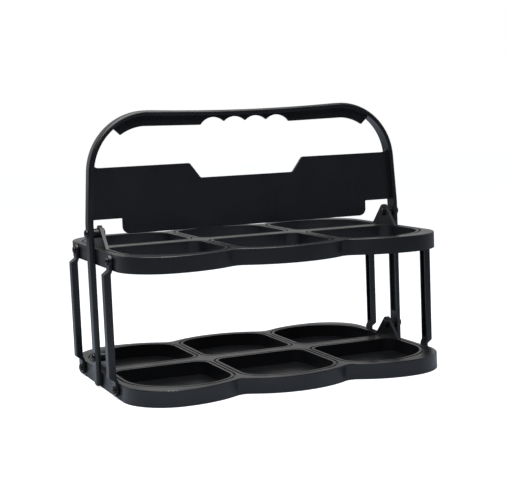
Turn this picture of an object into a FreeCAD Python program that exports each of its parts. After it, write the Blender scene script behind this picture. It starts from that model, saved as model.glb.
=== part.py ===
import FreeCAD, Part
import math
import os
import Sketcher

# Folding carrier for six bottles: two trays, one handle frame, four corner posts and their rivets.
# X runs along the carrier, -Y is the front, the lower tray stands on Z = 0. Millimetres.

SIZES = (
    ("cell_pitch", 112.0, "bottle to bottle along the carrier"),
    ("end_half", 51.2, "middle of an end cell to the outer face of the end wall"),
    ("scallop_out", 123.0, "middle of a tray to the furthest point of a scallop"),
    ("scallop_rise", 19.0, "depth of a scallop between its two cusps, before they are rounded"),
    ("corner_rad", 48.0, "outer corner of a tray"),
    ("cusp_rad", 14.0, "hollow between two scallops"),
    ("tray_height", 15.6, "tray wall, bottom to rim"),
    ("tray_pitch", 120.8, "lower tray to upper tray, and pin to pin on every link"),
    ("rim_width", 11.0, "scallop's outer face to the cell behind it"),
    ("end_rim", 9.4, "end wall's outer face to the cells behind it"),
    ("web_width", 11.5, "web between two cells"),
    ("web_shift", 3.0, "cusp to the middle of the web, towards the middle of the tray"),
    ("spine_width", 20.0, "web along the middle of a tray"),
    ("cell_rad", 12.0, "cell corner at the spine"),
    ("cusp_cell_rad", 26.0, "cell corner beside a cusp"),
    ("end_flat", 55.1, "middle of a tray to where a cell turns into its outer corner"),
    ("wall_thick", 2.4, "skirt of a tray and wall of a cell"),
    ("rim_thick", 3.0, "rim and webs, top to underside"),
    ("rim_bevel", 1.0, "rounding of the rim's outer edge"),
    ("floor_thick", 2.2, "floor of a cup in the lower tray"),
    ("rib_thick", 3.0, "rib under the spine"),
    ("lip_width", 2.6, "lip round a cell"),
    ("groove_width", 2.0, "groove round that lip"),
    ("groove_depth", 1.4, "depth of that groove"),
    ("ear_pin_height", 29.5, "tray bottom to the handle pivot"),
    ("ear_inset", 6.0, "end wall's outer face to the ear's outer face"),
    ("ear_thick", 3.2, "thickness of an ear"),
    ("ear_top_rad", 7.4, "round top of an ear"),
    ("ear_base_half", 24.0, "half the width of an ear at the rim"),
    ("boss_rad", 4.6, "bosses on both faces of an ear"),
    ("inner_boss_len", 0.8, "boss on the inner face of an ear"),
    ("boss_gap", 0.3, "outer boss to the leg that turns on it"),
    ("leg_gap", 0.3, "end wall to the leg that passes it"),
    ("leg_thick", 5.0, "handle strap, outer face to inner face"),
    ("leg_width", 14.6, "handle strap, front to back"),
    ("leg_edge_rad", 2.8, "rounding of the strap's outer edges"),
    ("leg_wall", 2.2, "walls of the channel in a leg's inner face"),
    ("leg_land", 13.0, "handle pivot to the end of that channel"),
    ("leg_foot", 0.8, "floor to the round end of a leg"),
    ("bend_rise", 7.5, "upper handle pivot to where the legs begin to lean in"),
    ("leg_bend_rad", 60.0, "radius of that bend"),
    ("lean_in", 3.2, "leg's outer face to the widest point of a handle corner"),
    ("arch_rad", 61.0, "outer radius of a handle corner"),
    ("hand_space", 50.8, "panel's top edge to the top of the grip at its middle"),
    ("dip_rad", 2000.0, "radius of the shallow dip along the grip"),
    ("web_thick", 3.2, "web under the grip"),
    ("finger_pitch", 22.8, "finger to finger"),
    ("finger_rise", 4.4, "depth of a finger hollow between two points"),
    ("finger_drop", 6.6, "top of the grip to the top of a finger hollow"),
    ("grip_step", 2.8, "finger points to the web's lower edge beside them"),
    ("grip_rise", 1.2, "rise of that edge towards its end"),
    ("grip_flat_run", 3.7, "corner's centre to where the edge begins to drop"),
    ("tip_run", 22.6, "start of that drop to the point at the web's end"),
    ("tip_drop", 6.4, "web's lower edge to that point"),
    ("tip_rad", 46.0, "curve from the web's edge to the point"),
    ("tip_end_run", 9.0, "that point to where the web's end meets the strap"),
    ("panel_thick", 3.2, "panel between the legs"),
    ("panel_gap", 11.2, "upper tray's rim to the panel's bottom edge"),
    ("panel_depth", 50.2, "panel's bottom edge to its top edge in the lowered middle"),
    ("panel_step", 15.0, "rise of the top edge beside the lowered middle"),
    ("step_low_x", 50.1, "middle to the foot of the slope in the top edge"),
    ("step_run", 11.1, "length of that slope"),
    ("step_rad", 3.0, "rounded corners at both ends of that slope"),
    ("notch_width", 30.9, "leg to the far side of the notch in the bottom corner"),
    ("notch_rise", 15.4, "panel's bottom edge to the top of that notch"),
    ("panel_corner_rad", 7.0, "rounded bottom corner of the panel"),
    ("panel_root_rad", 6.5, "rounded corner where the panel meets a leg"),
    ("post_inset", 14.9, "post's pivot to the start of a tray's corner"),
    ("post_pin_height", 8.6, "tray bottom to a post's pivot"),
    ("post_gap", 0.3, "end wall to the post's end plate"),
    ("post_plate", 3.2, "end plate of a post"),
    ("post_eye_rad", 6.2, "round end of a post"),
    ("post_width", 10.4, "post, front to back"),
    ("post_offset", 1.8, "inner face of the post behind its end plate"),
    ("post_thick", 6.6, "post, inner face to outer face"),
    ("post_edge_rad", 1.2, "rounding of the post's outer edges"),
    ("post_wall", 1.8, "walls of the channel in a post's inner face"),
    ("shoulder_start", 8.4, "pivot to the start of a post's shoulder"),
    ("shoulder_run", 3.8, "length of that shoulder"),
    ("pin_rad", 2.5, "shank of a handle rivet"),
    ("post_pin_rad", 2.0, "shank of a post rivet"),
    ("pin_clear", 0.06, "running clearance round a shank"),
    ("head_gap", 0.1, "rivet head or tail to the face it holds"),
    ("head_rad", 4.4, "head of a handle rivet"),
    ("head_rise", 2.6, "height of that head"),
    ("post_head_rad", 3.7, "head of a post rivet"),
    ("post_head_rise", 1.8, "height of that head"),
    ("head_edge", 0.7, "upright edge of a rivet head"),
    ("dome_rad", 6.0, "dome of a rivet head"),
    ("dimple_rad", 1.3, "hollow in a rivet head"),
    ("dimple_depth", 0.9, "depth of that hollow"),
    ("tail_rad", 3.2, "set tail of a post rivet"),
    ("tail_thick", 1.0, "thickness of that tail"),
    ("cap_rad", 4.6, "retaining cap on a handle rivet"),
    ("cap_len", 1.8, "length of that cap"),
)

doc = FreeCAD.newDocument("folding_bottle_carrier")
sheet = doc.addObject("Spreadsheet::Sheet", "Sizes")
for row, (alias, value, meaning) in enumerate(SIZES, start=1):
    sheet.set("A%d" % row, meaning)
    sheet.set("B%d" % row, str(value))
    sheet.setAlias("B%d" % row, alias)
doc.recompute()


class Size:
    """A length that carries its value and the sheet expression it follows."""

    def __init__(self, text, value):
        self.text = text
        self.value = value

    def _joined(self, other, sign, result):
        return Size("(%s %s %s)" % (self.text, sign, other.text), result)

    def __add__(self, other):
        other = as_size(other)
        return self._joined(other, "+", self.value + other.value)

    def __sub__(self, other):
        other = as_size(other)
        return self._joined(other, "-", self.value - other.value)

    def __mul__(self, other):
        other = as_size(other)
        return self._joined(other, "*", self.value * other.value)

    def __truediv__(self, other):
        other = as_size(other)
        return self._joined(other, "/", self.value / other.value)

    def __neg__(self):
        return Size("(-1 * %s)" % self.text, -self.value)

    def root(self):
        return Size("sqrt(%s)" % self.text, math.sqrt(self.value))


def as_size(number):
    if isinstance(number, Size):
        return number
    return Size(repr(float(number)), float(number))


class Sheet:
    """The sheet's values by name, as sizes to draw and bind with."""

    def __getattr__(self, alias):
        return Size("Sizes.%s" % alias, float(sheet.get(alias)))


D = Sheet()
kept = []
ZERO = Size("0", 0.0)


def keep(alias, size):
    """Gives a worked-out size a row of its own in the sheet."""
    row = len(SIZES) + len(kept) + 1
    kept.append(alias)
    sheet.set("A%d" % row, "worked out: %s" % alias)
    sheet.set("B%d" % row, "=" + size.text.replace("Sizes.", ""))
    sheet.setAlias("B%d" % row, alias)
    doc.recompute()
    return getattr(D, alias)


def new_body(label):
    body = doc.addObject("PartDesign::Body", label)
    body.Label = label
    return body


def origin_plane(body, role):
    return [item for item in body.Origin.OriginFeatures if item.Role == role][0]


def new_sketch(body, name, role, offset=None):
    drawing = body.newObject("Sketcher::SketchObject", name)
    drawing.AttachmentSupport = [(origin_plane(body, role), "")]
    drawing.MapMode = "FlatFace"
    if offset is not None:
        drawing.setExpression("AttachmentOffset.Base.z", offset.text)
    return drawing


def set_rules(drawing, rules):
    """Adds the constraints and binds each measured one to its size."""
    numbers = drawing.addConstraint([rule for rule, size in rules])
    for number, (rule, size) in zip(numbers, rules):
        if size is not None:
            drawing.setExpression("Constraints[%d]" % number, size.text)


def place_rules(geo, end, x, y):
    """Constraints that put one end of a curve at x, y."""
    rules = []
    for kind, axis, size in (("DistanceX", -2, x), ("DistanceY", -1, y)):
        if size is ZERO:
            rules.append((Sketcher.Constraint("PointOnObject", geo, end, axis), None))
        else:
            rules.append((Sketcher.Constraint(kind, -1, 1, geo, end, size.value), size))
    return rules


def side_curve(start, stop, bend):
    """A line, or an arc of the given radius that turns left (1) or right (-1), with its first and last end."""
    p = FreeCAD.Vector(start[0].value, start[1].value, 0)
    q = FreeCAD.Vector(stop[0].value, stop[1].value, 0)
    if bend is None:
        return Part.LineSegment(p, q), 1, 2
    radius, turn = bend
    chord = q - p
    left = FreeCAD.Vector(-chord.y, chord.x, 0) / chord.Length
    reach = math.sqrt(max(radius.value ** 2 - chord.Length ** 2 / 4, 0.0))
    centre = (p + q) * 0.5 + left * (turn * reach)
    first, last = (p, q) if turn > 0 else (q, p)
    angles = [math.atan2(point.y - centre.y, point.x - centre.x) for point in (first, last)]
    if angles[1] < angles[0]:
        angles[1] += 2 * math.pi
    circle = Part.Circle(centre, FreeCAD.Vector(0, 0, 1), radius.value)
    ends = (1, 2) if turn > 0 else (2, 1)
    return Part.ArcOfCircle(circle, angles[0], angles[1]), ends[0], ends[1]


def draw_loops(drawing, loops):
    """Draws closed outlines, each given as its corners and the sides that are arcs."""
    curves = []
    rules = []
    for corners, bends in loops:
        sides = []
        for number, corner in enumerate(corners):
            geo = len(curves)
            bend = bends.get(number)
            curve, first, last = side_curve(corner, corners[(number + 1) % len(corners)], bend)
            curves.append(curve)
            sides.append((geo, first, last))
            if bend is not None:
                rules.append((Sketcher.Constraint("Radius", geo, bend[0].value), bend[0]))
            rules += place_rules(geo, first, corner[0], corner[1])
        for number, (geo, first, last) in enumerate(sides):
            following = sides[(number + 1) % len(sides)]
            rules.append((Sketcher.Constraint("Coincident", geo, last, following[0], following[1]), None))
    drawing.addGeometry(curves, False)
    set_rules(drawing, rules)


def draw_loop(drawing, corners, bends=None):
    draw_loops(drawing, [(corners, bends or {})])


def draw_circle(drawing, x, y, radius):
    centre = FreeCAD.Vector(x.value, y.value, 0)
    geo = drawing.addGeometry(Part.Circle(centre, FreeCAD.Vector(0, 0, 1), radius.value), False)
    rules = place_rules(geo, 3, x, y)
    rules.append((Sketcher.Constraint("Radius", geo, radius.value), radius))
    set_rules(drawing, rules)


def draw_box(drawing, x0, x1, y0, y1):
    draw_loop(drawing, [(x0, y0), (x1, y0), (x1, y1), (x0, y1)])


def add_pad(body, name, drawing, length, both=False, back=False):
    pad = body.newObject("PartDesign::Pad", name)
    pad.Profile = drawing
    pad.setExpression("Length", length.text)
    pad.SideType = "Symmetric" if both else "One side"
    pad.Reversed = back
    return pad


def add_pocket(body, name, drawing, length=None, both=False, back=False):
    """Cuts the sketch to a length, or right through; a cut that takes nothing is an error."""
    doc.recompute()
    before = body.Shape.Volume
    pocket = body.newObject("PartDesign::Pocket", name)
    pocket.Profile = drawing
    if length is None:
        pocket.Type = "ThroughAll"
    else:
        pocket.setExpression("Length", length.text)
    pocket.SideType = "Symmetric" if both else "One side"
    pocket.Reversed = back
    doc.recompute()
    if body.Shape.Volume > before - 0.5:
        raise RuntimeError("%s cuts nothing" % name)
    return pocket


def add_mirror(body, name, features):
    """Repeats features of one end of the carrier at its other end."""
    mirror = body.newObject("PartDesign::Mirrored", name)
    mirror.Originals = features
    mirror.MirrorPlane = (origin_plane(body, "YZ_Plane"), [""])
    body.Tip = mirror
    doc.recompute()
    return mirror


def round_edges(body, name, radius, wanted):
    """Fillets the edges that the test picks; picking none is an error."""
    doc.recompute()
    base = body.Tip
    names = ["Edge%d" % (i + 1) for i, edge in enumerate(base.Shape.Edges) if wanted(edge)]
    if not names:
        raise RuntimeError("%s finds no edge" % name)
    fillet = body.newObject("PartDesign::Fillet", name)
    fillet.Base = (base, names)
    fillet.setExpression("Radius", radius.text)
    doc.recompute()
    return fillet


def near(a, b):
    return abs(a - b) < 1e-3


def rim_edges(body):
    """A test for the outer edges of a tray's top face."""
    doc.recompute()
    top = max(body.Tip.Shape.Faces, key=lambda face: face.CenterOfMass.z)
    outer = top.OuterWire.Edges
    return lambda edge: any(edge.isSame(other) for other in outer)


def cross_edge_at(points):
    """A test for edges that run front to back at one of the points, given as x and z."""
    spots = [(x.value, z.value) for x, z in points]

    def wanted(edge):
        ends = [vertex.Point for vertex in edge.Vertexes]
        if len(ends) != 2 or not (near(ends[0].x, ends[1].x) and near(ends[0].z, ends[1].z)):
            return False
        return any(near(ends[0].x, x) and near(ends[0].z, z) for x, z in spots)

    return wanted


# Sizes that several pieces share.
half_pitch = D.cell_pitch / 2
rise = D.scallop_rise
scallop_rad = keep("scallop_rad", (half_pitch * half_pitch + rise * rise) / (rise * 2))
scallop_mid = keep("scallop_mid", D.scallop_out - scallop_rad)
tray_half_len = keep("tray_half_len", D.cell_pitch + D.end_half)
ear_face = tray_half_len - D.ear_inset
ear_back = ear_face - D.ear_thick
boss_end = ear_back - D.inner_boss_len
leg_in = keep("leg_in", tray_half_len + D.leg_gap)
leg_out = keep("leg_out", leg_in + D.leg_thick)
plate_in = keep("plate_in", tray_half_len + D.post_gap)
plate_out = plate_in + D.post_plate
upper_pin_height = keep("upper_pin_height", D.ear_pin_height + D.tray_pitch)
panel_low = keep("panel_low", D.tray_pitch + D.tray_height + D.panel_gap)
panel_mid = keep("panel_mid", panel_low + D.panel_depth)
panel_top = keep("panel_top", panel_mid + D.panel_step)
arch_mid = keep("arch_mid", panel_top + D.hand_space)
shoulder_x = keep("shoulder_x", leg_out - D.lean_in - D.arch_rad)
bend_height = keep("bend_height", upper_pin_height + D.bend_rise)


def leg_of(longest, other):
    """The second short side of a right triangle."""
    return (longest * longest - other * other).root()


# Centres of the arcs that join the scallops to the end walls, to each other and to the cells' sides.
corner_gap = scallop_rad - D.corner_rad
corner_y = keep("corner_y", scallop_mid + leg_of(corner_gap, D.end_half - D.corner_rad))
cusp_gap = scallop_rad + D.cusp_rad
cusp_rise = keep("cusp_rise", leg_of(cusp_gap, half_pitch))
post_span = keep("post_span", corner_y - D.post_inset)
cell_ring = keep("cell_ring", scallop_rad - D.rim_width)
cell_out = keep("cell_out", tray_half_len - D.end_rim)
cell_in = keep("cell_in", half_pitch - D.web_shift + D.web_width / 2)
middle_half = keep("middle_half", half_pitch - D.web_shift - D.web_width / 2)
end_reach = D.end_half - D.end_rim
end_lift = D.end_flat - scallop_mid
end_cell_rad = keep("end_cell_rad", (
    (cell_ring * cell_ring - end_reach * end_reach - end_lift * end_lift) / (cell_ring - end_reach) / 2))
cusp_cell_gap = cell_ring - D.cusp_cell_rad
end_turn = keep("end_turn", leg_of(cusp_cell_gap, cell_in + D.cusp_cell_rad - D.cell_pitch))
middle_turn = keep("middle_turn", leg_of(cusp_cell_gap, middle_half - D.cusp_cell_rad))


def outline_loop(inset):
    """A tray's outline, moved in by a distance."""
    ring = scallop_rad - inset
    turn_x = D.cell_pitch + (D.end_half - D.corner_rad) * ring / corner_gap
    turn_y = scallop_mid + (corner_y - scallop_mid) * ring / corner_gap
    cusp_x = half_pitch * ring / cusp_gap
    cusp_y = scallop_mid + cusp_rise * ring / cusp_gap
    quarter = [
        (tray_half_len - inset, corner_y),
        (turn_x, turn_y),
        (D.cell_pitch - cusp_x, cusp_y),
        (cusp_x, cusp_y),
    ]
    corners = list(quarter)
    corners += [(-x, y) for x, y in reversed(quarter)]
    corners += [(-x, -y) for x, y in quarter]
    corners += [(x, -y) for x, y in reversed(quarter)]
    bends = {side: (ring, 1) for side in (1, 3, 5, 9, 11, 13)}
    bends.update({side: (D.corner_rad - inset, 1) for side in (0, 6, 8, 14)})
    bends.update({side: (D.cusp_rad + inset, -1) for side in (2, 4, 10, 12)})
    return corners, bends


def cell_loops(grow):
    """The outlines of the six cells, each moved out by a distance."""
    ring = cell_ring + grow
    spine = D.spine_width / 2 - grow
    low = D.spine_width / 2 + D.cell_rad
    cell_turn = D.cell_rad + grow
    cusp_turn = D.cusp_cell_rad + grow
    end_gap = cell_ring - end_cell_rad
    cusp_shift = (cell_in + D.cusp_cell_rad - D.cell_pitch) * ring / cusp_cell_gap
    end_cell = [
        (cell_in + D.cell_rad, spine),
        (cell_out - D.cell_rad, spine),
        (cell_out + grow, low),
        (cell_out + grow, D.end_flat),
        (D.cell_pitch + (end_reach - end_cell_rad) * ring / end_gap, scallop_mid + end_lift * ring / end_gap),
        (D.cell_pitch + cusp_shift, scallop_mid + end_turn * ring / cusp_cell_gap),
        (cell_in - grow, scallop_mid + end_turn),
        (cell_in - grow, low),
    ]
    middle_far = ring / cusp_cell_gap
    side = [
        (middle_half - D.cell_rad, spine),
        (middle_half + grow, low),
        (middle_half + grow, scallop_mid + middle_turn),
        ((middle_half - D.cusp_cell_rad) * middle_far, scallop_mid + middle_turn * middle_far),
    ]
    middle_cell = side + [(-x, y) for x, y in reversed(side)]
    loops = []
    for sy in (-1, 1):
        for sx in (-1, 1):
            turn = sx * sy
            bends = {1: (cell_turn, turn), 3: (end_cell_rad + grow, turn), 4: (ring, turn)}
            bends.update({5: (cusp_turn, turn), 7: (cell_turn, turn)})
            loops.append(([(x * sx, y * sy) for x, y in end_cell], bends))
        bends = {0: (cell_turn, sy), 2: (cusp_turn, sy), 3: (ring, sy), 4: (cusp_turn, sy), 6: (cell_turn, sy)}
        loops.append(([(x, y * sy) for x, y in middle_cell], bends))
    return loops


def add_cell(body, name, number, cups):
    """One cell of a tray: its wall below the rim, its opening and the groove round its lip."""
    drawing = new_sketch(body, name + "_wall_line", "XY_Plane")
    draw_loops(drawing, [cell_loops(D.wall_thick)[number]])
    wall = add_pad(body, name + "_wall", drawing, D.tray_height - D.rim_thick / 2)
    drawing = new_sketch(body, name + "_edge_line", "XY_Plane", D.tray_height)
    draw_loops(drawing, [cell_loops(ZERO)[number]])
    depth = D.tray_height - D.floor_thick if cups else None
    opening = add_pocket(body, name + "_opening", drawing, depth)
    drawing = new_sketch(body, name + "_lip_lines", "XY_Plane", D.tray_height)
    lip = D.lip_width
    draw_loops(drawing, [cell_loops(lip)[number], cell_loops(lip + D.groove_width)[number]])
    groove = add_pocket(body, name + "_lip_groove", drawing, D.groove_depth)
    return [wall, opening, groove]


def make_tray(label, lift, cups):
    """A scalloped tray with six lipped cells, cored from below: cups with floors, or open rings."""
    body = new_body(label)
    drawing = new_sketch(body, label + "_outline", "XY_Plane")
    draw_loops(drawing, [outline_loop(ZERO)])
    add_pad(body, label + "_block", drawing, D.tray_height)
    round_edges(body, label + "_rim", D.rim_bevel, rim_edges(body))
    drawing = new_sketch(body, label + "_skirt_line", "XY_Plane")
    draw_loops(drawing, [outline_loop(D.wall_thick)])
    add_pocket(body, label + "_core", drawing, D.tray_height - D.rim_thick, back=True)
    drawing = new_sketch(body, label + "_rib_line", "XY_Plane")
    rib_end = tray_half_len - D.wall_thick / 2
    draw_box(drawing, -rib_end, rib_end, D.rib_thick * -0.5, D.rib_thick * 0.5)
    add_pad(body, label + "_spine_rib", drawing, D.tray_height - D.rim_thick / 2)
    add_cell(body, label + "_front_middle", 2, cups)
    add_cell(body, label + "_rear_middle", 5, cups)
    steps = add_cell(body, label + "_front_end", 1, cups) + add_cell(body, label + "_rear_end", 4, cups)
    add_mirror(body, label + "_far_cells", steps)
    make_ears(body, label)

    drawing = new_sketch(body, label + "_pin_line", "YZ_Plane")
    draw_circle(drawing, ZERO, D.ear_pin_height, D.pin_rad + D.pin_clear)
    add_pocket(body, label + "_pin_bore", drawing, both=True)
    drawing = new_sketch(body, label + "_post_lines", "YZ_Plane", tray_half_len)
    for sy in (-1, 1):
        draw_circle(drawing, post_span * sy, D.post_pin_height, D.post_pin_rad + D.pin_clear)
    bores = add_pocket(body, label + "_post_bores", drawing, D.wall_thick + D.head_gap)
    add_mirror(body, label + "_far_bores", [bores])
    body.setExpression("Placement.Base.z", lift.text)
    return body


def make_ears(body, label):
    """The two A-shaped ears that carry the handle pivot above the rim."""
    base, rise, top = D.ear_base_half, D.ear_pin_height - D.tray_height, D.ear_top_rad
    span = base * base + rise * rise
    run = (span - top * top).root()
    touch_y = base + run / span * (top * rise - run * base)
    touch_z = D.tray_height + run / span * (run * rise + top * base)
    drawing = new_sketch(body, label + "_ear_side", "YZ_Plane", ear_face)
    corners = [
        (-base, ZERO),
        (base, ZERO),
        (base, D.tray_height),
        (touch_y, touch_z),
        (-touch_y, touch_z),
        (-base, D.tray_height),
    ]
    draw_loop(drawing, corners, {3: (top, 1)})
    plate = add_pad(body, label + "_ear", drawing, D.ear_thick, back=True)
    drawing = new_sketch(body, label + "_ear_foot", "YZ_Plane", tray_half_len - D.wall_thick / 2)
    draw_box(drawing, -base, base, ZERO, D.tray_height - D.rim_bevel)
    foot_len = D.ear_inset + D.ear_thick - D.wall_thick / 2
    foot = add_pad(body, label + "_foot", drawing, foot_len, back=True)
    drawing = new_sketch(body, label + "_outer_boss_end", "YZ_Plane", ear_face)
    draw_circle(drawing, ZERO, D.ear_pin_height, D.boss_rad)
    outer = add_pad(body, label + "_outer_boss", drawing, D.ear_inset + D.leg_gap - D.boss_gap)
    drawing = new_sketch(body, label + "_inner_boss_end", "YZ_Plane", ear_back)
    draw_circle(drawing, ZERO, D.ear_pin_height, D.boss_rad)
    inner = add_pad(body, label + "_inner_boss", drawing, D.inner_boss_len, back=True)
    add_mirror(body, label + "_far_ear", [plate, foot, outer, inner])


def make_handle(label):
    """Strap arch with round leg ends, a finger web under the grip and the panel between the legs."""
    body = new_body(label)
    foot = D.leg_foot + D.leg_width / 2
    half = D.leg_width / 2
    edge = D.leg_edge_rad
    corner_z = keep("corner_z", arch_mid + D.dip_rad - leg_of(D.arch_rad + D.dip_rad, shoulder_x))

    path = new_sketch(body, label + "_path", "XZ_Plane")
    draw_arch_path(path, foot, corner_z)
    section = new_sketch(body, label + "_section", "XY_Plane", foot)
    corners = [
        (leg_in, -half),
        (leg_out - edge, -half),
        (leg_out, edge - half),
        (leg_out, half - edge),
        (leg_out - edge, half),
        (leg_in, half),
    ]
    draw_loop(section, corners, {1: (edge, 1), 3: (edge, 1)})
    doc.recompute()
    strap = body.newObject("PartDesign::AdditivePipe", label + "_strap")
    strap.Profile = section
    strap.Spine = (path, ["Edge%d" % (i + 1) for i in range(len(path.Shape.Edges))])
    doc.recompute()

    drawing = new_sketch(body, label + "_end_section", "XY_Plane", foot)
    corners = [
        (leg_in, ZERO),
        (leg_out, ZERO),
        (leg_out, half - edge),
        (leg_out - edge, half),
        (leg_in, half),
    ]
    draw_loop(drawing, corners, {2: (edge, 1)})
    rounded = body.newObject("PartDesign::Revolution", label + "_leg_end")
    rounded.Profile = drawing
    rounded.ReferenceAxis = (drawing, ["H_Axis"])
    rounded.Angle = 180.0
    rounded.Reversed = True
    doc.recompute()
    if body.Shape.BoundBox.ZMin > D.leg_foot.value + 0.01:
        raise RuntimeError("the leg's end turns the wrong way")

    web = make_finger_web(body, label, corner_z)
    panel = make_panel(body, label)
    add_mirror(body, label + "_other_half", [strap, rounded, web, panel])
    corners = [((leg_in - D.notch_width) * sx, panel_low) for sx in (-1, 1)]
    round_edges(body, label + "_panel_corners", D.panel_corner_rad, cross_edge_at(corners))
    corners = [(D.step_low_x * sx, panel_mid) for sx in (-1, 1)]
    corners += [((D.step_low_x + D.step_run) * sx, panel_top) for sx in (-1, 1)]
    round_edges(body, label + "_panel_steps", D.step_rad, cross_edge_at(corners))
    drawing = new_sketch(body, label + "_pin_line", "YZ_Plane", leg_out)
    for height in (D.ear_pin_height, upper_pin_height):
        draw_circle(drawing, ZERO, height, D.pin_rad + D.pin_clear)
    bores = add_pocket(body, label + "_pin_bores", drawing, D.leg_thick + D.leg_gap)
    drawing = new_sketch(body, label + "_channel_line", "YZ_Plane", leg_in)
    side = half - D.leg_wall
    draw_box(drawing, -side, side, D.ear_pin_height + D.leg_land, upper_pin_height - D.leg_land)
    channel = add_pocket(body, label + "_channel", drawing, D.leg_thick - D.leg_wall, back=True)
    add_mirror(body, label + "_far_cuts", [bores, channel])
    return body


def draw_arch_path(drawing, foot, corner_z):
    """Outer line of one half of the arch: leg, bend, leaning leg, corner and dipped grip."""
    centre = FreeCAD.Vector(shoulder_x.value, corner_z.value, 0)
    radius = D.arch_rad.value
    bend = D.leg_bend_rad.value
    x, low, high = leg_out.value, foot.value, bend_height.value
    hub = FreeCAD.Vector(x - bend, high, 0)
    gap = centre - hub
    lean = math.atan2(gap.y, gap.x) - math.acos((bend - radius) / gap.Length)
    out = FreeCAD.Vector(math.cos(lean), math.sin(lean), 0)
    far = FreeCAD.Vector(0, arch_mid.value + D.dip_rad.value, 0)
    toward = (centre - far).normalize()
    up = FreeCAD.Vector(0, 0, 1)
    meet = math.atan2(-toward.y, -toward.x)
    leg = drawing.addGeometry(Part.LineSegment(FreeCAD.Vector(x, low, 0), FreeCAD.Vector(x, high, 0)), False)
    curve = drawing.addGeometry(Part.ArcOfCircle(Part.Circle(hub, up, bend), 0.0, lean), False)
    slant = drawing.addGeometry(Part.LineSegment(hub + out * bend, centre + out * radius), False)
    corner = drawing.addGeometry(Part.ArcOfCircle(Part.Circle(centre, up, radius), lean, meet), False)
    dip_circle = Part.Circle(far, up, D.dip_rad.value)
    low_angle = -math.pi / 2
    dip = drawing.addGeometry(Part.ArcOfCircle(dip_circle, low_angle, math.atan2(toward.y, toward.x)), False)
    rules = place_rules(leg, 1, leg_out, foot)
    rules += [
        (Sketcher.Constraint("Vertical", leg), None),
        (Sketcher.Constraint("DistanceY", -1, 1, leg, 2, high), bend_height),
        (Sketcher.Constraint("Tangent", leg, 2, curve, 1), None),
        (Sketcher.Constraint("Radius", curve, bend), D.leg_bend_rad),
        (Sketcher.Constraint("Tangent", curve, 2, slant, 1), None),
        (Sketcher.Constraint("Tangent", slant, 2, corner, 1), None),
        (Sketcher.Constraint("Radius", corner, radius), D.arch_rad),
        (Sketcher.Constraint("DistanceX", -1, 1, corner, 3, centre.x), shoulder_x),
        (Sketcher.Constraint("Tangent", corner, 2, dip, 2), None),
        (Sketcher.Constraint("Radius", dip, D.dip_rad.value), D.dip_rad),
        (Sketcher.Constraint("PointOnObject", dip, 3, -2), None),
        (Sketcher.Constraint("PointOnObject", dip, 1, -2), None),
        (Sketcher.Constraint("DistanceY", -1, 1, dip, 1, arch_mid.value), arch_mid),
    ]
    set_rules(drawing, rules)


def make_finger_web(body, label, corner_z):
    """Half of the web under the grip, with two finger hollows and a pointed end."""
    sink = D.leg_thick / 2
    ring = D.arch_rad - sink
    rise = D.finger_rise
    curve = (D.finger_pitch * D.finger_pitch / 4 + rise * rise) / (rise * 2)
    apex = arch_mid - D.finger_drop
    cusp = apex - rise
    low = cusp - D.grip_step
    last = D.finger_pitch * 1.5 + leg_of(curve, low - apex + curve)
    flat_x = shoulder_x + D.grip_flat_run
    tip_x = flat_x + D.tip_run
    inset = D.grip_flat_run + D.tip_run + D.tip_end_run
    corners = [
        (ZERO, arch_mid - sink),
        (shoulder_x, corner_z + ring),
        (shoulder_x + inset, corner_z + leg_of(ring, inset)),
        (tip_x, low - D.tip_drop),
        (flat_x, low + D.grip_rise),
        (last, low),
        (D.finger_pitch, cusp),
        (ZERO, cusp),
    ]
    drawing = new_sketch(body, label + "_web_side", "XZ_Plane")
    draw_loop(drawing, corners, {1: (ring, -1), 3: (D.tip_rad, 1), 5: (curve, 1), 6: (curve, 1)})
    return add_pad(body, label + "_finger_web", drawing, D.web_thick, both=True)


def make_panel(body, label):
    """Half of the panel: lowered middle, notched bottom corner, rounded root at the leg."""
    sink = D.leg_thick / 2
    root = D.panel_root_rad
    arch_in = shoulder_x + D.arch_rad - D.leg_thick
    notch_x = leg_in - D.notch_width
    notch_z = panel_low + D.notch_rise
    corners = [
        (ZERO, panel_low),
        (notch_x, panel_low),
        (notch_x, notch_z),
        (leg_out - sink, notch_z),
        (arch_in + sink, panel_top + root),
        (arch_in, panel_top + root),
        (arch_in - root, panel_top),
        (D.step_low_x + D.step_run, panel_top),
        (D.step_low_x, panel_mid),
        (ZERO, panel_mid),
    ]
    drawing = new_sketch(body, label + "_panel_side", "XZ_Plane")
    draw_loop(drawing, corners, {5: (root, -1)})
    return add_pad(body, label + "_panel", drawing, D.panel_thick, both=True)


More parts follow.
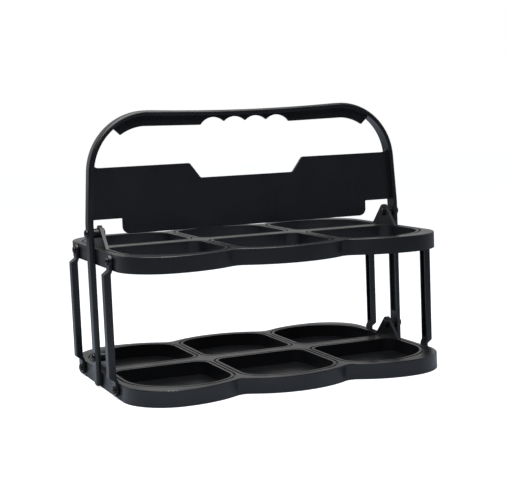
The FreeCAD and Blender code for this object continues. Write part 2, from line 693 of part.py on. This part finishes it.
def make_post(label, sx, sy):
    """A corner post: round end plates on the end walls, a channelled body set outward between shoulders."""
    body = new_body(label)
    low, high = D.post_pin_height, D.post_pin_height + D.tray_pitch
    start, stop = D.shoulder_start, D.shoulder_start + D.shoulder_run
    back = plate_in + D.post_offset
    face = back + D.post_thick
    corners = [
        (plate_in, low),
        (plate_out, low),
        (plate_out, low + start),
        (face, low + stop),
        (face, high - stop),
        (plate_out, high - start),
        (plate_out, high),
        (plate_in, high),
        (plate_in, high - start),
        (back, high - stop),
        (back, low + stop),
        (plate_in, low + start),
    ]
    drawing = new_sketch(body, label + "_side", "XZ_Plane")
    draw_loop(drawing, corners)
    add_pad(body, label + "_bar", drawing, D.post_width, both=True)
    length = D.tray_pitch.value - 2 * stop.value
    round_edges(body, label + "_edges", D.post_edge_rad, lambda edge: (
        near(edge.Length, length) and near(edge.BoundBox.XMin, face.value)))
    drawing = new_sketch(body, label + "_channel_line", "YZ_Plane", back)
    side = D.post_width / 2 - D.post_wall
    draw_box(drawing, -side, side, low + stop + D.post_wall, high - stop - D.post_wall)
    add_pocket(body, label + "_channel", drawing, D.post_thick - D.post_wall, back=True)
    drawing = new_sketch(body, label + "_eye_ends", "YZ_Plane", plate_in)
    for height in (low, high):
        draw_circle(drawing, ZERO, height, D.post_eye_rad)
    add_pad(body, label + "_eyes", drawing, D.post_plate)
    drawing = new_sketch(body, label + "_pin_line", "YZ_Plane")
    for height in (low, high):
        draw_circle(drawing, ZERO, height, D.post_pin_rad + D.pin_clear)
    add_pocket(body, label + "_pin_bores", drawing, both=True)
    if sx < 0:
        body.Placement.Rotation = FreeCAD.Rotation(FreeCAD.Vector(0, 0, 1), 180)
    body.setExpression("Placement.Base.y", (post_span * sy).text)
    return body


def set_outward(body, sx, x, y, z):
    """Turns a part drawn along +Z outward to its end of the carrier and puts it in place."""
    body.Placement.Rotation = FreeCAD.Rotation(FreeCAD.Vector(0, 1, 0), 90 * sx)
    body.setExpression("Placement.Base.x", (x * sx).text)
    body.setExpression("Placement.Base.y", y.text)
    body.setExpression("Placement.Base.z", z.text)


def turn_profile(body, name, corners, bends):
    drawing = new_sketch(body, name + "_profile", "XZ_Plane")
    draw_loop(drawing, corners, bends)
    solid = body.newObject("PartDesign::Revolution", name + "_turned")
    solid.Profile = drawing
    solid.ReferenceAxis = (drawing, ["V_Axis"])
    solid.Angle = 360.0
    doc.recompute()


def head_corners(head, rise):
    """The upper part of a rivet's profile, from the seat to the hollow in its head."""
    floor = rise - D.dimple_depth
    return [(head, ZERO), (head, D.head_edge), (D.dimple_rad, rise), (D.dimple_rad, floor), (ZERO, floor)]


def make_handle_rivet(label, sx, height):
    """A rivet through a leg and an ear, long enough for its retaining cap."""
    body = new_body(label)
    seat = leg_out + D.head_gap
    length = seat - boss_end + D.cap_len
    corners = [(ZERO, -length), (D.pin_rad, -length), (D.pin_rad, ZERO)]
    turn_profile(body, label, corners + head_corners(D.head_rad, D.head_rise), {4: (D.dome_rad, 1)})
    set_outward(body, sx, seat, ZERO, height)
    return body


def make_cap(label, sx, height):
    """A retaining cap on the inner end of a handle rivet."""
    body = new_body(label)
    bore = D.pin_rad + D.pin_clear
    corners = [(bore, -D.cap_len), (D.cap_rad, -D.cap_len), (D.cap_rad, -D.head_gap), (bore, -D.head_gap)]
    turn_profile(body, label, corners, {})
    set_outward(body, sx, boss_end, ZERO, height)
    return body


def make_post_rivet(label, sx, sy, height):
    """A rivet through a post's end plate and the end wall, set over inside the tray."""
    body = new_body(label)
    seat = plate_out + D.head_gap
    grip = D.head_gap + D.post_plate + D.post_gap + D.wall_thick + D.head_gap
    tail = grip + D.tail_thick
    corners = [
        (ZERO, -tail),
        (D.tail_rad, -tail),
        (D.tail_rad, -grip),
        (D.post_pin_rad, -grip),
        (D.post_pin_rad, ZERO),
    ]
    turn_profile(body, label, corners + head_corners(D.post_head_rad, D.post_head_rise), {6: (D.dome_rad, 1)})
    set_outward(body, sx, seat, post_span * sy, height)
    return body


parts = [
    make_tray("lower_tray", ZERO, True),
    make_tray("upper_tray", D.tray_pitch, False),
    make_handle("handle_frame"),
]
for x_name, sx in (("left", -1), ("right", 1)):
    for z_name, height in (("lower", D.ear_pin_height), ("upper", upper_pin_height)):
        parts.append(make_handle_rivet("%s_%s_handle_rivet" % (z_name, x_name), sx, height))
        parts.append(make_cap("%s_%s_rivet_cap" % (z_name, x_name), sx, height))
    for y_name, sy in (("front", -1), ("rear", 1)):
        parts.append(make_post("%s_%s_post" % (y_name, x_name), sx, sy))
        for z_name, base in (("lower", ZERO), ("upper", D.tray_pitch)):
            name = "%s_%s_%s_post_rivet" % (z_name, y_name, x_name)
            parts.append(make_post_rivet(name, sx, sy, base + D.post_pin_height))

doc.recompute()
for item in doc.Objects:
    if "Invalid" in item.State or "Error" in item.State:
        raise RuntimeError("%s did not build: %s" % (item.Name, item.State))
for part in parts:
    shape = part.Shape
    if shape.isNull() or not shape.isValid() or len(shape.Solids) != 1:
        raise RuntimeError("%s is not one sound solid" % part.Label)

os.makedirs("parts", exist_ok=True)
for part in parts:
    part.Shape.exportStep("parts/%s.step" % part.Label)
    print(part.Label, round(part.Shape.Volume), part.Shape.BoundBox)
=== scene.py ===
"""Finished looks of a folding bottle carrier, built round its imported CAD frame.

Everything is in metres in the CAD frame: X along the carrier, -Y the front, Z up.
"""

import logging
import math
from dataclasses import dataclass
from enum import Enum

import bmesh
import bpy
from mathutils import Matrix, Vector


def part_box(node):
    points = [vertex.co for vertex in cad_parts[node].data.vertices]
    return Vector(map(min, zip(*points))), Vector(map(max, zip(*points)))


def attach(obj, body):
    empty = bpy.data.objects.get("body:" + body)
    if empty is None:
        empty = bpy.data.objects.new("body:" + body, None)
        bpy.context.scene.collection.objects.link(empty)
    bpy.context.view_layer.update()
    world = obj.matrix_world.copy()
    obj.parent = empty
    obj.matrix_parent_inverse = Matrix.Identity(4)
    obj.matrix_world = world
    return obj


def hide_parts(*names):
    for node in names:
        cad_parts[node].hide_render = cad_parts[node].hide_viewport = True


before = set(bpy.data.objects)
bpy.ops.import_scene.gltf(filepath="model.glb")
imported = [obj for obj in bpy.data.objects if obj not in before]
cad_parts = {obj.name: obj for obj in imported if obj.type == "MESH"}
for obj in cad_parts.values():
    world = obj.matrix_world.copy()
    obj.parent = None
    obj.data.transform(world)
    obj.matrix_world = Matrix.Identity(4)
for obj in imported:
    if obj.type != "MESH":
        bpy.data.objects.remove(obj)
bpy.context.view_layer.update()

MM = 0.001
PHOTO_WIDTH = 506
WELD = 1e-6
# Nearly all values of a noise texture lie between these two.
NOISE_LOW, NOISE_HIGH = 0.3, 0.7
log = logging.getLogger("bottle_carrier")


class Slot(Enum):
    """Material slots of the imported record."""

    CARRIER = "carrier_plastic"
    RIVET = "rivet_steel"
    CAP = "cap_plastic"


class End(Enum):
    """The two ends of the carrier."""

    LEFT = "left"
    RIGHT = "right"


class Side(Enum):
    """The front and the rear of the carrier."""

    FRONT = "front"
    REAR = "rear"


class Level(Enum):
    """The two trays, each with the rivets that ride on it."""

    LOWER = "lower"
    UPPER = "upper"


def linear(hex_colour: str) -> tuple[float, float, float, float]:
    """Turns an sRGB hex colour into linear RGBA.

    Args:
        hex_colour: Colour such as "#1a2b3c".

    Returns:
        Linear red, green, blue and an alpha of 1.
    """
    channels = [int(hex_colour[start:start + 2], 16) / 255 for start in (1, 3, 5)]
    straight = [c / 12.92 if c <= 0.04045 else ((c + 0.055) / 1.055) ** 2.4 for c in channels]
    return straight[0], straight[1], straight[2], 1.0


def add_node(tree: bpy.types.NodeTree, kind: str, inputs: dict | None = None, **settings) -> bpy.types.Node:
    """Adds a node, sets it up and links it.

    Args:
        tree: Node tree that gets the node.
        kind: Blender's name of the node type.
        inputs: Socket name or number to a value, or to an output socket to link.
        **settings: Properties of the node itself.

    Returns:
        The new node.
    """
    node = tree.nodes.new(kind)
    for key, value in settings.items():
        setattr(node, key, value)
    for key, value in (inputs or {}).items():
        if isinstance(value, bpy.types.NodeSocket):
            tree.links.new(value, node.inputs[key])
        else:
            node.inputs[key].default_value = value
    return node


def new_object(name: str, mesh: bpy.types.ID) -> bpy.types.Object:
    """Makes an object of a mesh or other data and puts it in the scene.

    Args:
        name: Name of the object.
        mesh: Data that the object shows.

    Returns:
        The linked object.
    """
    made = bpy.data.objects.new(name, mesh)
    bpy.context.scene.collection.objects.link(made)
    return made


def baked(source: bpy.types.Object, name: str) -> bpy.types.Object:
    """Turns an object with modifiers into a plain mesh object and removes the source.

    Args:
        source: Object whose modifiers make the shape.
        name: Name of the plain piece.

    Returns:
        The plain mesh object at the origin.
    """
    view = bpy.context.evaluated_depsgraph_get()
    mesh = bpy.data.meshes.new_from_object(source.evaluated_get(view), depsgraph=view)
    bpy.data.objects.remove(source)
    mesh.name = name
    return new_object(name, mesh)


def turn_outward(mesh: bpy.types.Mesh) -> None:
    """Makes the faces of closed shells point outwards.

    Args:
        mesh: Mesh whose doubles are already merged.
    """
    work = bmesh.new()
    work.from_mesh(mesh)
    bmesh.ops.recalc_face_normals(work, faces=work.faces)
    work.to_mesh(mesh)
    work.free()


@dataclass(frozen=True)
class MouldedPlastic:
    """Injection-moulded polypropylene, coloured black right through.

    The mould is lightly spark-eroded, so the skin is satin: soft broad reflections
    and a grain that is felt more than seen.
    """

    name: str
    colour: str
    roughness: float
    roughness_spread: float = 0.06
    flow_mm: float = 38.0
    grain_mm: float = 0.55
    grain_lift_mm: float = 0.006
    ior: float = 1.49

    def material(self) -> bpy.types.Material:
        """Builds the finish, or returns it if it is already there."""
        if self.name in bpy.data.materials:
            return bpy.data.materials[self.name]
        made = bpy.data.materials.new(self.name)
        made.use_nodes = True
        tree = made.node_tree
        tree.nodes.clear()
        place = add_node(tree, "ShaderNodeTexCoord").outputs["Object"]
        # Slow change of gloss, where the melt cooled at different speeds.
        flow = add_node(tree, "ShaderNodeTexNoise", {
            "Vector": place, "Scale": 1 / (self.flow_mm * MM)})
        gloss = add_node(tree, "ShaderNodeMapRange", {
            "Value": flow.outputs["Fac"], "From Min": NOISE_LOW, "From Max": NOISE_HIGH,
            "To Min": self.roughness - self.roughness_spread,
            "To Max": self.roughness + self.roughness_spread})
        # The real grain is about 0.05 mm; it is drawn ten times coarser so that it shows at all.
        grain = add_node(tree, "ShaderNodeTexNoise", {
            "Vector": place, "Scale": 1 / (self.grain_mm * MM), "Detail": 1.0})
        bump = add_node(tree, "ShaderNodeBump", {
            "Height": grain.outputs["Fac"], "Distance": self.grain_lift_mm * MM})
        skin = add_node(tree, "ShaderNodeBsdfPrincipled", {
            "Base Color": linear(self.colour), "IOR": self.ior,
            "Roughness": gloss.outputs["Result"], "Normal": bump.outputs["Normal"]})
        add_node(tree, "ShaderNodeOutputMaterial", {"Surface": skin.outputs["BSDF"]})
        return made


@dataclass(frozen=True)
class CoatedSteel:
    """Cold-headed steel under a thin black coat: dark, harder and glossier than the plastic."""

    name: str
    colour: str
    roughness: float
    spread: float = 0.2
    mottle_mm: float = 2.5
    ior: float = 1.5

    def material(self) -> bpy.types.Material:
        """Builds the finish, or returns it if it is already there."""
        if self.name in bpy.data.materials:
            return bpy.data.materials[self.name]
        made = bpy.data.materials.new(self.name)
        made.use_nodes = True
        tree = made.node_tree
        tree.nodes.clear()
        place = add_node(tree, "ShaderNodeTexCoord").outputs["Object"]
        mottle = add_node(tree, "ShaderNodeTexNoise", {
            "Vector": place, "Scale": 1 / (self.mottle_mm * MM)})
        gloss = add_node(tree, "ShaderNodeMapRange", {
            "Value": mottle.outputs["Fac"],
            "To Min": self.roughness * (1 - self.spread), "To Max": self.roughness * (1 + self.spread)})
        skin = add_node(tree, "ShaderNodeBsdfPrincipled", {
            "Base Color": linear(self.colour), "IOR": self.ior, "Roughness": gloss.outputs["Result"]})
        add_node(tree, "ShaderNodeOutputMaterial", {"Surface": skin.outputs["BSDF"]})
        return made


CARRIER_FINISH = MouldedPlastic("moulded_black_polypropylene", "#121316", 0.32)
CAP_FINISH = MouldedPlastic("moulded_black_nylon", "#0a0b0d", 0.30, ior=1.53)
RIVET_FINISH = CoatedSteel("black_coated_steel", "#0d0e10", 0.24)


@dataclass
class MouldedPiece:
    """A moulded piece: the CAD solid with the softened edges that a mould leaves."""

    node: str
    body: str
    name: str
    edge_mm: float = 0.45
    edge_steps: int = 2
    crease: float = 32.0
    flat: float = 0.6

    def welded(self) -> bpy.types.Mesh:
        """Returns a copy of the CAD mesh with its loose triangles joined into clean faces."""
        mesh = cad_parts[self.node].data.copy()
        work = bmesh.new()
        work.from_mesh(mesh)
        bmesh.ops.remove_doubles(work, verts=work.verts, dist=WELD)
        bmesh.ops.dissolve_limit(
            work, angle_limit=math.radians(self.flat), verts=work.verts, edges=work.edges)
        work.to_mesh(mesh)
        work.free()
        mesh.materials.clear()
        mesh.materials.append(CARRIER_FINISH.material())
        mesh.shade_smooth()
        return mesh

    def build(self) -> bpy.types.Object:
        """Makes the finished piece and ties it to its body.

        Returns:
            The piece that stands for the CAD node.
        """
        rough = new_object(self.name + "_rough", self.welded())
        bevel = rough.modifiers.new("softened_edges", "BEVEL")
        bevel.width = self.edge_mm * MM
        bevel.segments = self.edge_steps
        bevel.limit_method = "ANGLE"
        bevel.angle_limit = math.radians(self.crease)
        bevel.use_clamp_overlap = True
        level = rough.modifiers.new("level_faces", "WEIGHTED_NORMAL")
        level.mode = "FACE_AREA"
        level.weight = 100
        level.keep_sharp = True
        piece = baked(rough, self.name)
        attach(piece, self.body)
        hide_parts(self.node)
        return piece


@dataclass
class Tray(MouldedPiece):
    """One of the two scalloped trays."""

    edge_mm: float = 0.6


@dataclass
class HandleFrame(MouldedPiece):
    """The arched handle with its finger web and panel."""

    edge_mm: float = 0.5


@dataclass
class CornerPost(MouldedPiece):
    """One of the four posts that join the trays."""

    edge_mm: float = 0.4


@dataclass
class TurnedSet:
    """Equal turned pieces on one body, repeated by Geometry Nodes from one profile."""

    name: str
    body: str
    nodes: list[str]
    finish: MouldedPlastic | CoatedSteel
    slot: Slot
    sides: int = 40
    crease: float = 40.0

    def profile(self) -> list[tuple[float, float]]:
        """Returns radius and height of the profile's corners, in millimetres."""
        raise NotImplementedError

    def closed(self) -> bool:
        """Says if the profile runs back to its start instead of meeting the axis."""
        return False

    def seat(self, node: str) -> tuple[Vector, Vector]:
        """Returns the place and the outward direction of one of the pieces."""
        raise NotImplementedError

    def points(self) -> bpy.types.Object:
        """Makes one point for each piece, with its outward direction as an attribute."""
        seats = [self.seat(node) for node in self.nodes]
        mesh = bpy.data.meshes.new(self.name + "_points")
        mesh.from_pydata([place for place, _ in seats], [], [])
        outward = mesh.attributes.new("outward", "FLOAT_VECTOR", "POINT")
        for number, (_, way) in enumerate(seats):
            outward.data[number].vector = way
        return new_object(self.name + "_points", mesh)

    def profile_curve(self, core: float) -> bpy.types.Object:
        """Draws the profile as a curve whose X is the distance from the core radius."""
        corners = self.profile()
        curve = bpy.data.curves.new(self.name + "_profile", "CURVE")
        line = curve.splines.new("POLY")
        line.points.add(len(corners) - 1)
        for point, (radius, height) in zip(line.points, corners):
            point.co = (radius * MM - core, -height * MM, 0.0, 1.0)
        line.use_cyclic_u = self.closed()
        return new_object(self.name + "_profile", curve)

    def tree(self) -> bpy.types.NodeTree:
        """Builds the tree: sweep the profile round a circle, set one on each point."""
        tree = bpy.data.node_groups.new(self.name + "_turning", "GeometryNodeTree")
        face = tree.interface
        for label, kind in (("Points", "NodeSocketGeometry"), ("Profile", "NodeSocketObject"),
                            ("Core Radius", "NodeSocketFloat"), ("Sides", "NodeSocketInt"),
                            ("Crease", "NodeSocketFloat"), ("Finish", "NodeSocketMaterial")):
            face.new_socket(label, in_out="INPUT", socket_type=kind)
        face.new_socket("Pieces", in_out="OUTPUT", socket_type="NodeSocketGeometry")
        given = add_node(tree, "NodeGroupInput").outputs
        outline = add_node(tree, "GeometryNodeObjectInfo", {"Object": given["Profile"]})
        ring = add_node(tree, "GeometryNodeCurvePrimitiveCircle", {
            "Resolution": given["Sides"], "Radius": given["Core Radius"]})
        level = add_node(tree, "GeometryNodeSetCurveNormal", {"Curve": ring.outputs["Curve"]}, mode="Z_UP")
        swept = add_node(tree, "GeometryNodeCurveToMesh", {
            "Curve": level.outputs["Curve"], "Profile Curve": outline.outputs["Geometry"]})
        joined = add_node(tree, "GeometryNodeMergeByDistance", {
            "Geometry": swept.outputs["Mesh"], "Distance": WELD})
        way = add_node(tree, "GeometryNodeInputNamedAttribute", {
            "Name": "outward"}, data_type="FLOAT_VECTOR")
        turn = add_node(tree, "FunctionNodeAlignRotationToVector", {
            "Vector": way.outputs["Attribute"]}, axis="Z")
        placed = add_node(tree, "GeometryNodeInstanceOnPoints", {
            "Points": given["Points"], "Instance": joined.outputs["Geometry"],
            "Rotation": turn.outputs["Rotation"]})
        real = add_node(tree, "GeometryNodeRealizeInstances", {"Geometry": placed.outputs["Instances"]})
        angle = add_node(tree, "GeometryNodeInputMeshEdgeAngle")
        soft = add_node(tree, "FunctionNodeCompare", {
            0: angle.outputs["Unsigned Angle"], 1: given["Crease"]},
            data_type="FLOAT", operation="LESS_THAN")
        smooth = add_node(tree, "GeometryNodeSetShadeSmooth", {
            "Geometry": real.outputs["Geometry"], "Shade Smooth": soft.outputs["Result"]}, domain="EDGE")
        dressed = add_node(tree, "GeometryNodeSetMaterial", {
            "Geometry": smooth.outputs["Geometry"], "Material": given["Finish"]})
        add_node(tree, "NodeGroupOutput", {"Pieces": dressed.outputs["Geometry"]})
        return tree

    def build(self) -> bpy.types.Object:
        """Makes the pieces as one mesh and ties it to its body.

        Returns:
            The mesh that stands for the CAD nodes.
        """
        core = max(radius for radius, _ in self.profile()) * MM
        outline = self.profile_curve(core)
        source = self.points()
        tree = self.tree()
        values = {"Profile": outline, "Core Radius": core, "Sides": self.sides,
                  "Crease": math.radians(self.crease), "Finish": self.finish.material()}
        turning = source.modifiers.new("turning", "NODES")
        turning.node_group = tree
        for item in tree.interface.items_tree:
            if item.name in values:
                turning[item.identifier] = values[item.name]
        piece = baked(source, self.name)
        turn_outward(piece.data)
        bpy.data.objects.remove(outline)
        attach(piece, self.body)
        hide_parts(*self.nodes)
        return piece


@dataclass
class RivetSet(TurnedSet):
    """Rivets with a domed, dimpled head outside and a shank through the pivot."""

    shank: float = 2.5
    tail: float = 2.5
    tail_thick: float = 0.5
    head: float = 4.4
    rise: float = 2.6
    brim: float = 0.7
    dimple: float = 1.3
    dimple_depth: float = 0.9
    soft: float = 0.18
    dome_steps: int = 6

    def profile(self) -> list[tuple[float, float]]:
        """Returns the rivet's profile from its tail to the hollow in its head."""
        soft = self.soft
        low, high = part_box(self.nodes[0])
        end = self.rise - (high.x - low.x) / MM
        step_up = end + self.tail_thick
        tail = [(0.0, end), (self.tail - soft, end), (self.tail, end + soft), (self.tail, step_up)]
        shank = [(self.shank, step_up), (self.shank, 0.0)]
        brim = [(self.head - soft, 0.0), (self.head, soft), (self.head, self.brim)]
        dome = []
        for step in range(1, self.dome_steps + 1):
            share = step / self.dome_steps
            radius = self.head + (self.dimple + soft - self.head) * share
            lift = math.sqrt(max(0.0, 1 - (1 - share) ** 2))
            dome.append((radius, self.brim + (self.rise - self.brim) * lift))
        floor = self.rise - self.dimple_depth
        hollow = [(self.dimple, self.rise - soft), (self.dimple, floor), (0.0, floor)]
        return tail + shank + brim + dome + hollow

    def seat(self, node: str) -> tuple[Vector, Vector]:
        """Returns the underside of the head and the way it faces."""
        low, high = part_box(node)
        middle = (low + high) / 2
        sign = math.copysign(1.0, middle.x)
        outer = high.x if sign > 0 else low.x
        return Vector((outer - sign * self.rise * MM, middle.y, middle.z)), Vector((sign, 0.0, 0.0))


@dataclass
class PostRivetSet(RivetSet):
    """The smaller rivets of the posts, whose tails are set wider than the shank."""

    shank: float = 2.0
    tail: float = 3.2
    tail_thick: float = 1.0
    head: float = 3.7
    rise: float = 1.8


@dataclass
class CapSet(TurnedSet):
    """Retaining caps pressed on the inner ends of the handle rivets."""

    bore: float = 2.56
    soft: float = 0.5

    def profile(self) -> list[tuple[float, float]]:
        """Returns the cap's profile round its bore."""
        low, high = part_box(self.nodes[0])
        back = (low.x - high.x) / MM
        outer = (high.z - low.z) / 2 / MM
        rounded = [(outer - self.soft, back), (outer, back + self.soft)]
        return [(self.bore, back)] + rounded + [(outer, 0.0), (self.bore, 0.0)]

    def closed(self) -> bool:
        """Says that the profile is a ring's section."""
        return True

    def seat(self, node: str) -> tuple[Vector, Vector]:
        """Returns the cap's outer face and the way it faces."""
        low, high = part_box(node)
        middle = (low + high) / 2
        sign = math.copysign(1.0, middle.x)
        outer = high.x if sign > 0 else low.x
        return Vector((outer, middle.y, middle.z)), Vector((sign, 0.0, 0.0))


@dataclass
class PhotoCamera:
    """Camera that stands where the photograph was taken from."""

    azimuth: float = -22.36
    elevation: float = 6.27
    roll: float = -2.32
    distance_mm: float = 1241.45
    aim_mm: tuple[float, float, float] = (0.0, 0.0, 130.0)
    slide_mm: tuple[float, float] = (3.33, -4.27)
    focal_px: float = 1222.18
    sensor_mm: float = 36.0

    def build(self) -> bpy.types.Object:
        """Makes the camera and gives it to the scene.

        Returns:
            The camera object.
        """
        turn, lift, tilt = (math.radians(angle) for angle in (self.azimuth, self.elevation, self.roll))
        back = Vector((math.sin(turn) * math.cos(lift), -math.cos(turn) * math.cos(lift), math.sin(lift)))
        level = Vector((math.cos(turn), math.sin(turn), 0.0))
        upright = back.cross(level)
        right = level * math.cos(tilt) + upright * math.sin(tilt)
        up = upright * math.cos(tilt) - level * math.sin(tilt)
        slide = right * self.slide_mm[0] + up * self.slide_mm[1]
        place = Vector(self.aim_mm) + slide + back * self.distance_mm
        data = bpy.data.cameras.new("photo_camera")
        data.sensor_width = self.sensor_mm
        data.lens = self.focal_px * self.sensor_mm / PHOTO_WIDTH
        camera = new_object("photo_camera", data)
        axes = Matrix((right, up, back)).transposed().to_4x4()
        camera.matrix_world = Matrix.Translation(place * MM) @ axes
        bpy.context.scene.camera = camera
        return camera


@dataclass
class Studio:
    """Plain pale floor, white surroundings and one large soft light overhead.

    The surroundings fade from bright to dim with the cosine of the angle to bright_way:
    fully bright above bright_from, fully dim below dim_to.
    """

    floor_mm: float = 9000.0
    floor_drop_mm: float = 0.3
    floor_colour: str = "#b7bfcc"
    floor_roughness: float = 0.9
    floor_lift: float = 0.84
    bright_way: tuple[float, float, float] = (0.35, 0.75, 0.55)
    bright: float = 0.52
    bright_from: float = 0.85
    dim: float = 0.012
    dim_to: float = -0.3
    lamp_mm: tuple[float, float, float] = (-140.0, -160.0, 760.0)
    lamp_side_mm: float = 760.0
    lamp_watts: float = 9.4

    def floor(self) -> bpy.types.Object:
        """Makes the floor: pale, lifted to white for the camera, with the shadow kept."""
        half = self.floor_mm * MM / 2
        drop = -self.floor_drop_mm * MM
        mesh = bpy.data.meshes.new("studio_floor")
        corners = [(-half, -half, drop), (half, -half, drop), (half, half, drop), (-half, half, drop)]
        mesh.from_pydata(corners, [], [(0, 1, 2, 3)])
        made = bpy.data.materials.new("matt_white_paper")
        made.use_nodes = True
        tree = made.node_tree
        tree.nodes.clear()
        rays = add_node(tree, "ShaderNodeLightPath").outputs
        seen = add_node(tree, "ShaderNodeMath", {
            0: rays["Is Camera Ray"], 1: self.floor_lift}, operation="MULTIPLY")
        paper = add_node(tree, "ShaderNodeBsdfPrincipled", {
            "Base Color": linear(self.floor_colour),
            "Roughness": self.floor_roughness, "Specular IOR Level": 0.0,
            "Emission Color": (1.0, 1.0, 1.0, 1.0), "Emission Strength": seen.outputs["Value"]})
        add_node(tree, "ShaderNodeOutputMaterial", {"Surface": paper.outputs["BSDF"]})
        mesh.materials.append(made)
        floor = new_object("studio_floor", mesh)
        return floor

    def surroundings(self) -> bpy.types.World:
        """Makes the world: white to the camera, bright behind and above, dim in front."""
        world = bpy.data.worlds.new("studio_surroundings")
        world.use_nodes = True
        tree = world.node_tree
        tree.nodes.clear()
        way = add_node(tree, "ShaderNodeTexCoord").outputs["Generated"]
        toward = add_node(tree, "ShaderNodeVectorMath", {
            0: way, 1: Vector(self.bright_way).normalized()}, operation="DOT_PRODUCT")
        spread = add_node(tree, "ShaderNodeMapRange", {
            "Value": toward.outputs["Value"], "From Min": self.dim_to, "From Max": self.bright_from,
            "To Min": self.dim, "To Max": self.bright}, interpolation_type="SMOOTHSTEP")
        rays = add_node(tree, "ShaderNodeLightPath").outputs
        seen = add_node(tree, "ShaderNodeMath", {
            0: rays["Is Camera Ray"], 1: rays["Is Transmission Ray"]}, operation="MAXIMUM")
        strength = add_node(tree, "ShaderNodeMath", {
            0: spread.outputs["Result"], 1: seen.outputs["Value"]}, operation="MAXIMUM")
        light = add_node(tree, "ShaderNodeBackground", {
            "Color": (1.0, 1.0, 1.0, 1.0), "Strength": strength.outputs["Value"]})
        add_node(tree, "ShaderNodeOutputWorld", {"Surface": light.outputs["Background"]})
        bpy.context.scene.world = world
        return world

    def lamp(self) -> bpy.types.Object:
        """Makes the large soft light that hangs over the carrier."""
        data = bpy.data.lights.new("overhead_softbox", "AREA")
        data.shape = "SQUARE"
        data.size = self.lamp_side_mm * MM
        data.energy = self.lamp_watts
        lamp = new_object("overhead_softbox", data)
        place = Vector(self.lamp_mm) * MM
        lamp.location = place
        lamp.rotation_euler = place.to_track_quat("Z", "Y").to_euler()
        return lamp

    def build(self) -> None:
        """Sets up floor, surroundings and light."""
        self.floor()
        self.surroundings()
        self.lamp()
        bpy.context.scene.view_settings.view_transform = "Standard"


class Carrier:
    """The whole carrier, sub-assembly by sub-assembly."""

    def plan(self) -> list[MouldedPiece | TurnedSet]:
        """Lists every piece in the order in which it is built."""
        plan: list[MouldedPiece | TurnedSet] = []
        ends = [end.value for end in End]
        corners = [f"{side.value}_{end}" for side in Side for end in ends]
        for level in Level:
            tray = level.value + "_tray"
            plan.append(Tray(tray, tray, tray + "_moulding"))
            plan.append(RivetSet(
                level.value + "_handle_rivets", tray,
                [f"{level.value}_{end}_handle_rivet" for end in ends], RIVET_FINISH, Slot.RIVET))
            plan.append(CapSet(
                level.value + "_rivet_caps", tray,
                [f"{level.value}_{end}_rivet_cap" for end in ends], CAP_FINISH, Slot.CAP))
            plan.append(PostRivetSet(
                level.value + "_post_rivets", tray,
                [f"{level.value}_{corner}_post_rivet" for corner in corners], RIVET_FINISH, Slot.RIVET))
        plan.append(HandleFrame("handle_frame", "handle", "handle_moulding"))
        for corner in corners:
            post = corner + "_post"
            plan.append(CornerPost(post, post, post + "_moulding"))
        return plan

    def build(self) -> None:
        """Builds every piece and reports it."""
        for piece in self.plan():
            made = piece.build()
            log.info("%s: %d faces", made.name, len(made.data.polygons))


def main() -> None:
    """Builds the carrier, the studio and the camera."""
    logging.basicConfig(level=logging.INFO, format="%(name)s %(message)s")
    Carrier().build()
    Studio().build()
    PhotoCamera().build()


if __name__ == "__main__":
    main()
